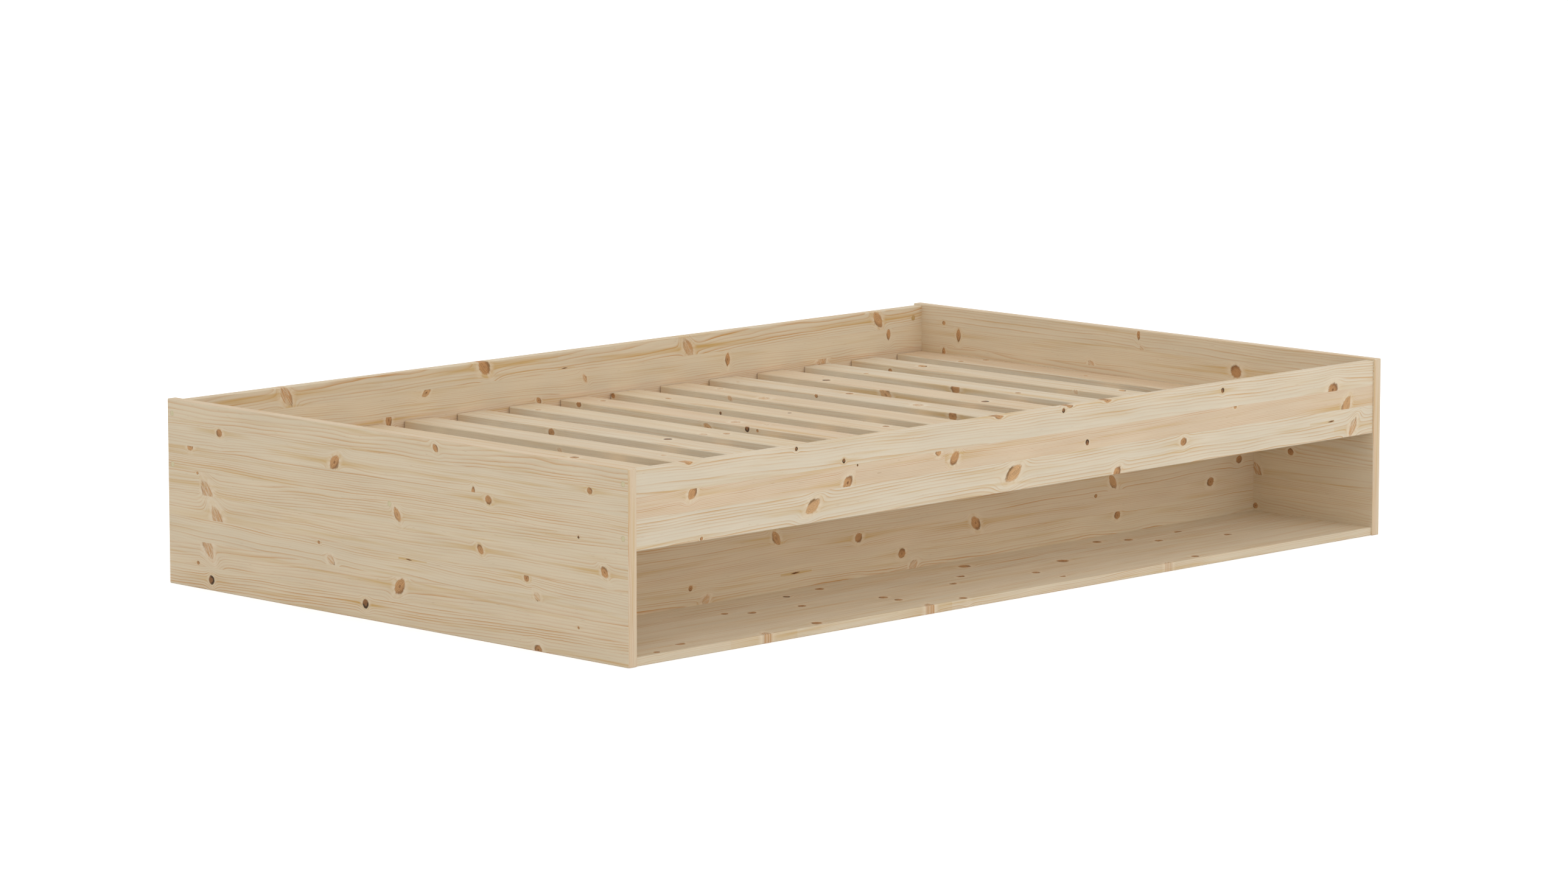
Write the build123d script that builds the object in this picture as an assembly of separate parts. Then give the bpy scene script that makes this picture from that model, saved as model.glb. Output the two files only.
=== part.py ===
from build123d import *
import os

# A low pine bed with an open storage niche along its front side.
# Two solid end panels stand on the floor. Two rails, a beam and two niche boards run between them,
# and the slats lie across on ledgers. Millimetres, +Z up, the bed's front at -Y, and the origin on
# the floor under the middle of the bed.

# Mattress that the bed is made for
mattress_length = 2000.0
mattress_width = 1200.0
mattress_play = 3.0

# End panels
panel_thickness = 20.0
panel_height = 350.0

# Side rails
rail_thickness = 20.0
rail_height = 143.0
rail_drop = 3.5
rail_setback = 3.5

# Slats
slat_count = 15
slat_width = 75.0
slat_thickness = 18.0
slat_end_gap = 2.0
mattress_recess = 95.0

# Ledgers, beam and leg under the slats
ledger_height = 27.0
ledger_depth = 30.0
ledger_end_gap = 34.0
beam_width = 45.0
beam_height = 27.0
leg_width = 45.0
leg_depth = 45.0

# Niche boards
niche_depth = 308.0
niche_floor_thickness = 16.0
niche_wall_thickness = 16.0
niche_setback = 3.5

# Eased edges
board_edge_chamfer = 1.2
slat_edge_chamfer = 1.5
batten_edge_chamfer = 1.5

# Flat sides round the small turned pieces and their holes
buried_sides = 6
fitting_sides = 8
shown_sides = 16

# Connector bolts
bolt_diameter = 6.0
bolt_length = 45.0
bolt_head_diameter = 10.0
bolt_head_height = 6.0
bolt_socket_width = 5.0
bolt_socket_depth = 3.5
bolt_edge_inset = 23.5

# Barrel nuts that the bolts screw into
nut_diameter = 10.0
nut_length = 14.0
nut_inset = 25.5

# Plastic caps over the bolts and the barrel nuts
bolt_cap_thickness = 2.5
cap_stem_diameter = 4.4
cap_stem_length = 2.5
cap_rim_chamfer = 0.4
nut_cap_diameter = 11.0
nut_cap_thickness = 2.0

# Wooden dowels
dowel_diameter = 8.0
dowel_length = 40.0
dowel_in_panel = 12.0
beam_dowel_offset = 14.0
niche_dowel_inset = 82.0

# Cam fittings that draw the niche boards to the end panels
cam_diameter = 15.0
cam_thickness = 12.0
cam_inset = 30.0
cam_slot_width = 2.0
cam_slot_depth = 2.0
cam_edge_inset = 50.0
cam_bolt_diameter = 6.0
cam_bolt_reach = 27.0
cam_bolt_neck_diameter = 4.0
cam_bolt_neck_length = 3.0
cam_bolt_tip_length = 3.0
cam_thread_diameter = 5.0
cam_thread_length = 11.0

# Countersunk wood screws
screw_diameter = 4.0
screw_head_diameter = 8.0
screw_head_height = 2.4
screw_tip_length = 5.0
screw_tip_diameter = 1.0
ledger_screw_length = 45.0
ledger_screw_count = 7
ledger_screw_inset = 60.0
niche_screw_length = 50.0
niche_screw_count = 5
niche_screw_inset = 120.0
leg_screw_length = 60.0
leg_screw_spacing = 20.0

# Pins through every sixth slat, counted back from the last
pin_diameter = 1.8
pin_head_diameter = 2.8
pin_head_height = 1.0
pin_length = 32.0
pin_recess = 0.2
pin_inset = 17.5
pin_offset = 5.0
pinned_slat_step = 6

# Webbing and staples that hold the slats at their spacing
ribbon_width = 22.0
ribbon_thickness = 1.0
ribbon_inset = 110.0
ribbon_end_inset = 12.0
staple_width = 12.0
staple_leg_length = 9.0
staple_wire_width = 1.4
staple_wire_thickness = 0.8

# Clearances
hole_clearance = 0.3
shank_clearance = 1.0
bottom_clearance = 0.5
cut_overrun = 1.0

# Places that follow from the sizes above
bed_length = mattress_length + 2 * panel_thickness
bed_width = mattress_width + mattress_play + 2 * (rail_thickness + rail_setback)
inner_x = mattress_length / 2
front_y = -bed_width / 2
rail_inner_y = bed_width / 2 - rail_setback - rail_thickness
rail_middle_y = rail_inner_y + rail_thickness / 2
rail_top = panel_height - rail_drop
rail_bottom = rail_top - rail_height
rail_middle_z = (rail_top + rail_bottom) / 2
slat_top = rail_top - mattress_recess
slat_bottom = slat_top - slat_thickness
slat_length = 2 * (rail_inner_y - slat_end_gap)
slat_pitch = (mattress_length - slat_width) / (slat_count - 1)
slat_middles = [slat_width / 2 - inner_x + slat_pitch * number for number in range(slat_count)]
ledger_length = mattress_length - 2 * ledger_end_gap
ledger_middle_z = slat_bottom - ledger_height / 2
beam_bottom = slat_bottom - beam_height
beam_middle_z = slat_bottom - beam_height / 2
wall_front_y = front_y + niche_depth
wall_back_y = wall_front_y + niche_wall_thickness
wall_middle_y = (wall_front_y + wall_back_y) / 2
floor_front_y = front_y + niche_setback
floor_middle_z = niche_floor_thickness / 2
head_seat = bolt_cap_thickness + bolt_head_height
bolt_reach = head_seat + bolt_length - panel_thickness
nut_x = inner_x - nut_inset
cam_x = inner_x - cam_inset
dowel_in_board = dowel_length - dowel_in_panel
ribbon_y = rail_inner_y - ribbon_inset
pin_y = rail_inner_y - pin_inset
pinned_slats = range(slat_count - 1, -1, -pinned_slat_step)

# Radii of the holes, each a little wider than what goes in
bolt_hole = (bolt_diameter + shank_clearance) / 2
head_hole = (bolt_head_diameter + hole_clearance) / 2
nut_hole = (nut_diameter + hole_clearance) / 2
nut_cap_hole = (nut_cap_diameter + hole_clearance) / 2
dowel_hole = (dowel_diameter + hole_clearance) / 2
cam_hole = (cam_diameter + hole_clearance) / 2
cam_bolt_hole = (cam_bolt_diameter + hole_clearance) / 2
cam_thread_hole = (cam_thread_diameter + hole_clearance) / 2
screw_hole = (screw_diameter + hole_clearance) / 2
screw_head_hole = (screw_head_diameter + hole_clearance) / 2
pin_hole = (pin_diameter + hole_clearance) / 2
pin_head_hole = (pin_head_diameter + hole_clearance) / 2

# Where fittings meet an end panel, each as the place across and the height
rail_bolt_heights = [rail_bottom + bolt_edge_inset, rail_top - bolt_edge_inset]
rail_bolt_places = [(side * rail_middle_y, z) for side in (-1, 1) for z in rail_bolt_heights]
beam_bolt_places = [(0, beam_middle_z)]
rail_dowel_places = [(side * rail_middle_y, rail_middle_z) for side in (-1, 1)]
beam_dowel_places = [(beam_dowel_offset, beam_middle_z)]
floor_cam_places = [
    (floor_front_y + cam_edge_inset, floor_middle_z),
    (wall_back_y - cam_edge_inset, floor_middle_z),
]
floor_dowel_places = [
    (floor_front_y + niche_dowel_inset, floor_middle_z),
    (wall_back_y - niche_dowel_inset, floor_middle_z),
]
wall_cam_places = [
    (wall_middle_y, niche_floor_thickness + cam_edge_inset),
    (wall_middle_y, slat_bottom - cam_edge_inset),
]
wall_dowel_places = [
    (wall_middle_y, niche_floor_thickness + niche_dowel_inset),
    (wall_middle_y, slat_bottom - niche_dowel_inset),
]


def both_ends(places):
    """The same places at both end panels, as (end, across, height)."""
    return [(end, y, z) for end in (-1, 1) for y, z in places]


def spread(length, inset, count):
    """Even places along a length about zero, with the outer two an inset from its ends."""
    step = (length - 2 * inset) / (count - 1)
    return [inset - length / 2 + step * number for number in range(count)]


ledger_screw_places = spread(ledger_length, ledger_screw_inset, ledger_screw_count)
niche_screw_places = spread(mattress_length, niche_screw_inset, niche_screw_count)
leg_screw_places = [-leg_screw_spacing / 2, leg_screw_spacing / 2]


def block(low, high):
    """A box between two opposite corners."""
    size = [b - a for a, b in zip(low, high)]
    middle = [(a + b) / 2 for a, b in zip(low, high)]
    return Pos(*middle) * Box(*size)


def rod(radius, start, end, sides=buried_sides):
    """A rod with flat sides from one point to another."""
    way = Vector(*end) - Vector(*start)
    return extrude(Plane(origin=start, z_dir=way) * RegularPolygon(radius, sides), amount=way.length)


def turned(profile, start, way, sides=buried_sides):
    """A turned piece with flat sides, closed round (distance along, radius) rings from start."""
    place = Plane(origin=start, z_dir=way)
    angles = [360 * number / sides for number in range(sides)]
    rings = [
        [place.from_local_coords(Vector(radius, 0, along).rotate(Axis.Z, angle)) for angle in angles]
        for along, radius in profile
    ]
    corners = [rings[0], rings[-1]]
    for low, high in zip(rings, rings[1:]):
        corners += [[low[k - 1], low[k], high[k], high[k - 1]] for k in range(sides)]
    return Solid(Shell([Face(Wire.make_polygon(points)) for points in corners]))


def end_bores(places, radius, depth):
    """Bores into both ends of a board that lies between the end panels."""
    outside, bottom = inner_x + cut_overrun, inner_x - depth - bottom_clearance
    return [rod(radius, (end * outside, y, z), (end * bottom, y, z)) for end, y, z in both_ends(places)]


def countersink(face, way, through):
    """A screw's clearance hole through a piece, with a cone that takes its head under the face."""
    start = Vector(*face) - Vector(*way) * cut_overrun
    cone_depth = cut_overrun + bottom_clearance + screw_head_height
    cone_slope = (screw_head_hole - screw_hole) / screw_head_height
    profile = [
        (0, screw_hole + cone_slope * cone_depth),
        (cone_depth, screw_hole),
        (through + 2 * cut_overrun, screw_hole),
    ]
    return turned(profile, tuple(start), way)


def screw(face, way, length):
    """A countersunk wood screw, its head just under the face that it is driven through."""
    start = Vector(*face) + Vector(*way) * bottom_clearance
    profile = [
        (0, screw_head_diameter / 2),
        (screw_head_height, screw_diameter / 2),
        (length - screw_tip_length, screw_diameter / 2),
        (length, screw_tip_diameter / 2),
    ]
    return turned(profile, tuple(start), way)


def end_panel(end):
    """An end panel: capped bolt holes from outside, and blind holes inside for dowels and cam bolts."""
    outer = end * bed_length / 2
    inner = end * inner_x
    low_x, high_x = sorted((outer, inner))
    panel = block((low_x, front_y, 0), (high_x, -front_y, panel_height))
    panel = chamfer(panel.edges(), board_edge_chamfer)
    outside = outer + end * cut_overrun
    inside = inner - end * cut_overrun
    seat = outer - end * head_seat
    dowel_bottom = inner + end * (dowel_in_panel + bottom_clearance)
    thread_bottom = inner + end * (cam_thread_length + bottom_clearance)
    cuts = []
    for y, z in rail_bolt_places + beam_bolt_places:
        cuts.append(rod(head_hole, (outside, y, z), (seat, y, z), shown_sides))
        cuts.append(rod(bolt_hole, (outside, y, z), (inside, y, z)))
    for y, z in rail_dowel_places + beam_dowel_places + floor_dowel_places + wall_dowel_places:
        cuts.append(rod(dowel_hole, (inside, y, z), (dowel_bottom, y, z)))
    for y, z in floor_cam_places + wall_cam_places:
        cuts.append(rod(cam_thread_hole, (inside, y, z), (thread_bottom, y, z)))
    return panel - cuts


def rail(side):
    """A side rail: bolt and dowel bores in its ends, capped barrel nut holes in its inner face."""
    middle = side * rail_middle_y
    board = block(
        (-inner_x, middle - rail_thickness / 2, rail_bottom),
        (inner_x, middle + rail_thickness / 2, rail_top),
    )
    board = chamfer(board.edges().filter_by(Axis.X), board_edge_chamfer)
    cuts = end_bores([(middle, z) for z in rail_bolt_heights], bolt_hole, bolt_reach)
    cuts += end_bores([(middle, rail_middle_z)], dowel_hole, dowel_in_board)
    mouth = side * (rail_inner_y - cut_overrun)
    cap_seat = side * (rail_inner_y + nut_cap_thickness)
    nut_bottom = side * (rail_middle_y + nut_length / 2 + bottom_clearance)
    for x in (-nut_x, nut_x):
        for z in rail_bolt_heights:
            cuts.append(rod(nut_hole, (x, mouth, z), (x, nut_bottom, z), fitting_sides))
            cuts.append(rod(nut_cap_hole, (x, mouth, z), (x, cap_seat, z), shown_sides))
    screw_bottom = side * (rail_inner_y - ledger_depth + ledger_screw_length + 2 * bottom_clearance)
    for x in ledger_screw_places:
        start, stop = (x, mouth, ledger_middle_z), (x, screw_bottom, ledger_middle_z)
        cuts.append(rod(screw_hole, start, stop))
    return board - cuts


def ledger(side):
    """A batten along a rail's inner face, which stops short of the barrel nuts at both ends."""
    face = rail_inner_y - ledger_depth
    low_y, high_y = sorted((side * face, side * rail_inner_y))
    batten = block(
        (-ledger_length / 2, low_y, slat_bottom - ledger_height),
        (ledger_length / 2, high_y, slat_bottom),
    )
    batten = chamfer(batten.edges().filter_by(Axis.X), batten_edge_chamfer)
    cuts = [
        countersink((x, side * face, ledger_middle_z), (0, side, 0), ledger_depth)
        for x in ledger_screw_places
    ]
    pin_bottom = slat_top - pin_length - bottom_clearance
    for number in pinned_slats:
        x = slat_middles[number] - pin_offset
        cuts.append(rod(pin_hole, (x, side * pin_y, slat_top), (x, side * pin_y, pin_bottom)))
    return batten - cuts


def slat(number):
    """One slat, with the holes of its staples and, on a few of them, its pins."""
    middle = slat_middles[number]
    board = block(
        (middle - slat_width / 2, -slat_length / 2, slat_bottom),
        (middle + slat_width / 2, slat_length / 2, slat_top),
    )
    board = chamfer(board.edges().filter_by(Axis.Y), slat_edge_chamfer)
    cuts = staple_legs(middle, -ribbon_y, hole_clearance) + staple_legs(middle, ribbon_y, hole_clearance)
    if number in pinned_slats:
        x = middle - pin_offset
        above = slat_top + cut_overrun
        head_bottom = slat_top - pin_recess - pin_head_height
        for y in (-pin_y, pin_y):
            cuts.append(rod(pin_head_hole, (x, y, above), (x, y, head_bottom)))
            cuts.append(rod(pin_hole, (x, y, above), (x, y, slat_bottom - cut_overrun)))
    return board - cuts


def slat_pins():
    profile = [
        (0, pin_head_diameter / 2),
        (pin_head_height, pin_head_diameter / 2),
        (pin_head_height, pin_diameter / 2),
        (pin_length - pin_recess, pin_diameter / 2),
    ]
    starts = [
        (slat_middles[number] - pin_offset, y, slat_top - pin_recess)
        for number in pinned_slats
        for y in (-pin_y, pin_y)
    ]
    return [turned(profile, start, (0, 0, -1)) for start in starts]


def staple_legs(x, y, clearance=0):
    """The two legs of a staple, or the holes for them where a clearance is given."""
    half_thickness = (staple_wire_thickness + clearance) / 2
    half_width = (staple_wire_width + clearance) / 2
    low = slat_bottom - ribbon_thickness - clearance
    high = slat_bottom - ribbon_thickness + staple_leg_length + clearance
    reach = (staple_width - staple_wire_thickness) / 2
    return [
        block((leg - half_thickness, y - half_width, low), (leg + half_thickness, y + half_width, high))
        for leg in (x - reach, x + reach)
    ]


def staple(x, y):
    top = slat_bottom - ribbon_thickness
    crown = block(
        (x - staple_width / 2, y - staple_wire_width / 2, top - staple_wire_thickness),
        (x + staple_width / 2, y + staple_wire_width / 2, top),
    )
    return crown + staple_legs(x, y)


def ribbon(side):
    """A strip of webbing under the slats, from the first slat to the last."""
    reach = inner_x - ribbon_end_inset
    middle = side * ribbon_y
    strip = block(
        (-reach, middle - ribbon_width / 2, slat_bottom - ribbon_thickness),
        (reach, middle + ribbon_width / 2, slat_bottom),
    )
    return strip - [leg for x in slat_middles for leg in staple_legs(x, middle, hole_clearance)]


def centre_beam():
    """The batten under the middle of the slats, bolted to both end panels."""
    beam = block((-inner_x, -beam_width / 2, beam_bottom), (inner_x, beam_width / 2, slat_bottom))
    beam = chamfer(beam.edges().filter_by(Axis.X), batten_edge_chamfer)
    cuts = end_bores(beam_bolt_places, bolt_hole, bolt_reach)
    cuts += end_bores(beam_dowel_places, dowel_hole, dowel_in_board)
    nut_top = beam_middle_z + nut_length / 2 + bottom_clearance
    for x in (-nut_x, nut_x):
        cuts.append(rod(nut_hole, (x, 0, beam_bottom - cut_overrun), (x, 0, nut_top), fitting_sides))
    cuts += [countersink((0, y, slat_bottom), (0, 0, -1), beam_height) for y in leg_screw_places]
    return beam - cuts


def centre_leg():
    """The post between the floor and the middle of the beam."""
    post = block((-leg_width / 2, -leg_depth / 2, 0), (leg_width / 2, leg_depth / 2, beam_bottom))
    post = chamfer(post.edges().filter_by(Axis.Z), batten_edge_chamfer)
    low = slat_bottom - leg_screw_length - 2 * bottom_clearance
    return post - [rod(screw_hole, (0, y, slat_bottom), (0, y, low)) for y in leg_screw_places]


def niche_floor():
    """The niche's bottom board, with the cam pockets in its underside."""
    board = block((-inner_x, floor_front_y, 0), (inner_x, wall_back_y, niche_floor_thickness))
    front_edges = board.edges().filter_by(Axis.X).group_by(Axis.Y)[0]
    board = chamfer(front_edges, board_edge_chamfer)
    cuts = end_bores(floor_cam_places, cam_bolt_hole, cam_inset)
    cuts += end_bores(floor_dowel_places, dowel_hole, dowel_in_board)
    pocket_top = cam_thickness + 2 * bottom_clearance
    for end, y, z in both_ends(floor_cam_places):
        start, stop = (end * cam_x, y, -cut_overrun), (end * cam_x, y, pocket_top)
        cuts.append(rod(cam_hole, start, stop, fitting_sides))
    for x in niche_screw_places:
        cuts.append(countersink((x, wall_middle_y, 0), (0, 0, 1), niche_floor_thickness))
    return board - cuts


def niche_wall():
    """The niche's back board, which stands on the niche floor and meets the slats."""
    board = block((-inner_x, wall_front_y, niche_floor_thickness), (inner_x, wall_back_y, slat_bottom))
    cuts = end_bores(wall_cam_places, cam_bolt_hole, cam_inset)
    cuts += end_bores(wall_dowel_places, dowel_hole, dowel_in_board)
    mouth = wall_back_y + cut_overrun
    pocket_end = wall_back_y - cam_thickness - 2 * bottom_clearance
    for end, y, z in both_ends(wall_cam_places):
        start, stop = (end * cam_x, mouth, z), (end * cam_x, pocket_end, z)
        cuts.append(rod(cam_hole, start, stop, fitting_sides))
    screw_top = niche_screw_length + 2 * bottom_clearance
    for x in niche_screw_places:
        start, stop = (x, wall_middle_y, 0), (x, wall_middle_y, screw_top)
        cuts.append(rod(screw_hole, start, stop))
    return board - cuts


def connector_bolt(end, y, z):
    """A socket-head bolt, its head seated in the end panel's counterbore."""
    face = end * (bed_length / 2 - bolt_cap_thickness)
    whole = bolt_head_height + bolt_length
    profile = [
        (0, bolt_head_diameter / 2),
        (bolt_head_height, bolt_head_diameter / 2),
        (bolt_head_height, bolt_diameter / 2),
        (whole, bolt_diameter / 2),
    ]
    bolt = turned(profile, (face, y, z), (-end, 0, 0))
    hexagon = RegularPolygon(bolt_socket_width / 2, 6, major_radius=False)
    socket = extrude(Plane(origin=(face, y, z), z_dir=(-end, 0, 0)) * hexagon, amount=bolt_socket_depth)
    return bolt - socket


def barrel_nut(x, y, z, way):
    """A cross nut: a short bar with a hole across it for the bolt."""
    middle = Vector(x, y, z)
    outer = middle + Vector(*way) * nut_length / 2
    inner = middle - Vector(*way) * nut_length / 2
    bar = rod(nut_diameter / 2, tuple(inner), tuple(outer), fitting_sides)
    hole = rod((bolt_diameter + hole_clearance) / 2, (x - nut_diameter, y, z), (x + nut_diameter, y, z))
    return bar - hole


def barrel_nuts():
    rail_nuts = [
        barrel_nut(x, side * rail_middle_y, z, (0, -side, 0))
        for x in (-nut_x, nut_x)
        for side in (-1, 1)
        for z in rail_bolt_heights
    ]
    return rail_nuts + [barrel_nut(x, 0, beam_middle_z, (0, 0, -1)) for x in (-nut_x, nut_x)]


def bolt_cap(end, y, z):
    """A flush cap whose stem plugs into the bolt's socket."""
    radius = bolt_head_diameter / 2
    outer = end * bed_length / 2
    seat = outer - end * bolt_cap_thickness
    tip = seat - end * cap_stem_length
    profile = [
        (0, radius - cap_rim_chamfer),
        (cap_rim_chamfer, radius),
        (bolt_cap_thickness, radius),
    ]
    disc = turned(profile, (outer, y, z), (-end, 0, 0), shown_sides)
    return disc + rod(cap_stem_diameter / 2, (seat, y, z), (tip, y, z))


def nut_caps():
    """Flush discs in the widened mouths of the rails' barrel nut holes."""
    radius = nut_cap_diameter / 2
    profile = [
        (0, radius - cap_rim_chamfer),
        (cap_rim_chamfer, radius),
        (nut_cap_thickness, radius),
    ]
    return [
        turned(profile, (x, side * rail_inner_y, z), (0, side, 0), shown_sides)
        for x in (-nut_x, nut_x)
        for side in (-1, 1)
        for z in rail_bolt_heights
    ]


def dowel(end, y, z):
    """A wooden dowel across the joint between an end panel and a board."""
    start, stop = end * (inner_x + dowel_in_panel), end * (inner_x - dowel_in_board)
    return rod(dowel_diameter / 2, (start, y, z), (stop, y, z))


def cam_disc(end, face_y, face_z, way, bore_y, bore_z):
    """A cam in its pocket: a disc with a driver slot, bored from the side for the cam bolt."""
    x = end * cam_x
    start = Vector(x, face_y, face_z) + Vector(*way) * bottom_clearance
    stop = start + Vector(*way) * cam_thickness
    disc = rod(cam_diameter / 2, tuple(start), tuple(stop), fitting_sides)
    bore = rod(cam_bolt_hole, (x + end * cam_diameter, bore_y, bore_z), (x, bore_y, bore_z))
    mouth = Plane(origin=tuple(start), x_dir=(1, 0, 0), z_dir=way)
    slot = extrude(mouth * Rectangle(cam_diameter, cam_slot_width), amount=cam_slot_depth)
    return disc - [bore, slot]


def cam_discs():
    floor_cams = [cam_disc(end, y, 0, (0, 0, 1), y, z) for end, y, z in both_ends(floor_cam_places)]
    wall_places = both_ends(wall_cam_places)
    return floor_cams + [cam_disc(end, wall_back_y, z, (0, -1, 0), y, z) for end, y, z in wall_places]


def cam_bolt(end, y, z):
    """A bolt screwed into an end panel, with a necked tip that its cam hooks."""
    whole = cam_thread_length + cam_bolt_reach
    tip = whole - cam_bolt_tip_length
    neck = tip - cam_bolt_neck_length
    profile = [
        (0, cam_thread_diameter / 2),
        (cam_thread_length, cam_thread_diameter / 2),
        (cam_thread_length, cam_bolt_diameter / 2),
        (neck, cam_bolt_diameter / 2),
        (neck, cam_bolt_neck_diameter / 2),
        (tip, cam_bolt_neck_diameter / 2),
        (tip, cam_bolt_diameter / 2),
        (whole, cam_bolt_diameter / 2),
    ]
    return turned(profile, (end * (inner_x + cam_thread_length), y, z), (-end, 0, 0))


def niche_screws():
    """The screws up through the niche floor into the foot of the niche wall."""
    return [screw((x, wall_middle_y, 0), (0, 0, 1), niche_screw_length) for x in niche_screw_places]


def ledger_screws():
    """The screws through both ledgers into the rails."""
    face = rail_inner_y - ledger_depth
    return [
        screw((x, side * face, ledger_middle_z), (0, side, 0), ledger_screw_length)
        for side in (-1, 1)
        for x in ledger_screw_places
    ]


bolt_places = both_ends(rail_bolt_places + beam_bolt_places)
dowel_places = both_ends(rail_dowel_places + beam_dowel_places + floor_dowel_places + wall_dowel_places)
cam_places = both_ends(floor_cam_places + wall_cam_places)

parts = {
    "end_panel_left": end_panel(-1),
    "end_panel_right": end_panel(1),
    "front_rail": rail(-1),
    "back_rail": rail(1),
    "front_ledger": ledger(-1),
    "back_ledger": ledger(1),
    "centre_beam": centre_beam(),
    "centre_leg": centre_leg(),
    "niche_floor": niche_floor(),
    "niche_wall": niche_wall(),
    "slat_ribbon_front": ribbon(-1),
    "slat_ribbon_back": ribbon(1),
    "ribbon_staples": [staple(x, y) for y in (-ribbon_y, ribbon_y) for x in slat_middles],
    "slat_pins": slat_pins(),
    "connector_bolts": [connector_bolt(*place) for place in bolt_places],
    "barrel_nuts": barrel_nuts(),
    "bolt_caps": [bolt_cap(*place) for place in bolt_places],
    "nut_caps": nut_caps(),
    "dowels": [dowel(*place) for place in dowel_places],
    "cam_discs": cam_discs(),
    "cam_bolts": [cam_bolt(*place) for place in cam_places],
    "ledger_screws": ledger_screws(),
    "niche_screws": niche_screws(),
    "leg_screws": [screw((0, y, slat_bottom), (0, 0, -1), leg_screw_length) for y in leg_screw_places],
}
for number in range(slat_count):
    parts[f"slat_{number + 1:02d}"] = slat(number)

os.makedirs("parts", exist_ok=True)
for name, shape in parts.items():
    export_step(Compound(children=shape) if isinstance(shape, list) else shape, f"parts/{name}.step")
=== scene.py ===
import functools
import math
import random

import bmesh
import bpy
from mathutils import Matrix, Vector


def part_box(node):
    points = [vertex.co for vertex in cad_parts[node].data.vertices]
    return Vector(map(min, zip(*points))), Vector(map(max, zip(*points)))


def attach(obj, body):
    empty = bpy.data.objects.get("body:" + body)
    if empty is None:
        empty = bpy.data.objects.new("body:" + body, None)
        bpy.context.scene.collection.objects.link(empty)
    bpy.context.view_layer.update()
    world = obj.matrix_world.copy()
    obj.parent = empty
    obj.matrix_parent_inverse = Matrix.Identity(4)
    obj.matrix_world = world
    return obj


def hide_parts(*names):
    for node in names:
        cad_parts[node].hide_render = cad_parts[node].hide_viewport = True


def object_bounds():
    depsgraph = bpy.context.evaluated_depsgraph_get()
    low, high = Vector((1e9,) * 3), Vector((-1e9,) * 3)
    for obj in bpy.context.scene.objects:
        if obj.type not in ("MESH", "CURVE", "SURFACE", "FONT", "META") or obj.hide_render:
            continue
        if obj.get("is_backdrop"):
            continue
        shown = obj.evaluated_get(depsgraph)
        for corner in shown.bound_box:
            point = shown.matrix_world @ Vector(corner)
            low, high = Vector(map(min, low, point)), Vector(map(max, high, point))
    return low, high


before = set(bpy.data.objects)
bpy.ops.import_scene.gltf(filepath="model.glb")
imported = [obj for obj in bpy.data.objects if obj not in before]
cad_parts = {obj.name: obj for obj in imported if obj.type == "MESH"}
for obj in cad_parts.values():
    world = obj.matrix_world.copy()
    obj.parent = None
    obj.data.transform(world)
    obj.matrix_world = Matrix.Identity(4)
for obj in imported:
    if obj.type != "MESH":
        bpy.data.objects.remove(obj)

bl_info = {
    "name": "Pine floor bed",
    "version": (1, 0, 0),
    "blender": (4, 5, 0),
    "location": "View3D > Sidebar > Floor bed",
    "description": "Dresses a low pine bed with an open storage niche and sets its studio",
    "category": "Add Mesh",
}

MM = 0.001
# Cycles reads a colour ramp through a table of this many steps.
RAMP_STEPS = 256
# The widest knot that a ramp's channel can hold, and the longest, as a share of its width.
KNOT_LIMIT = 40
STRETCH_LIMIT = 8
# The widest spacing of rings that a ramp's channel can hold, in millimetres.
SPACING_LIMIT = 8

# Which of a node's settings its mode is, where that isn't its operation.
MODES = {
    "MapRange": "interpolation_type", "Mix": "data_type", "TexWhiteNoise": "noise_dimensions",
    "ValToRGB": "interpolation", "VectorRotate": "rotation_type",
}

# How each kind of knot looks: stretch, slope from the grain in degrees, black rim, darkness.
KNOT_KINDS = {
    "brown": (1.15, 25, 0.12, 0.57),
    "red": (1.1, 0, 0.1, 0.35),
    "black": (1.1, 80, 1.0, 0.85),
    "pale": (1.5, 35, 0.0, 0.3),
    "edge": (2.2, 0, 0.1, 0.35),
    "fair": (1.9, 30, 0.36, 0.15),
    "rising fair": (1.9, 58, 0.12, 0.25),
    "falling fair": (1.9, -55, 0.12, 0.3),
    "rising": (1.5, 48, 0.12, 0.46),
    "falling": (1.5, -48, 0.12, 0.46),
    "upright": (2.1, 90, 0.15, 0.45),
    "rising leaf": (2, 58, 0.0, 0.45),
    "falling leaf": (2, -58, 0.0, 0.45),
    "streak": (7.5, 3, 0.3, 0.95),
}

# Knots as along the board, across it, radius, kind and the golden streak beside it. Millimetres.
END_PANEL_KNOTS = [
    (1100, 300, 7.5, "brown", 0.8), (1185, 265.5, 8, "red", 0.5), (1165, 218, 3, "red", 0.2),
    (1137, 183, 14, "rising leaf", 0.3), (1108, 137, 14, "rising leaf", 0.5),
    (1137, 82, 13, "rising leaf", 0.2), (1166, 48, 3.5, "brown", 0.3), (1128, 20, 8, "black", 0.6),
    (775, 280, 11, "falling", 0.9), (821, 127, 3, "brown", 0.3), (788, 98, 8, "pale", 0.1),
    (604, 203, 8, "rising fair", 0.4), (599, 72, 12, "falling", 0.6), (574, 124, 1.2, "streak", 0.9),
    (693, 29, 8, "black", 0.7), (500, 335, 6, "rising", 0.3), (400, 267, 5, "upright", 0.3),
    (360, 257, 8, "brown", 1.0), (382, 165, 7, "rising", 1.0), (262, 128, 6.5, "brown", 0.8),
    (234, 98, 7, "pale", 0.3), (98, 302, 6, "brown", 0.6), (127, 217, 2.5, "black", 0.2),
    (61, 162, 8, "rising", 0.4), (128, 56, 2.5, "brown", 0.3), (232, 3, 9, "brown", 0.3),
]
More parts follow.
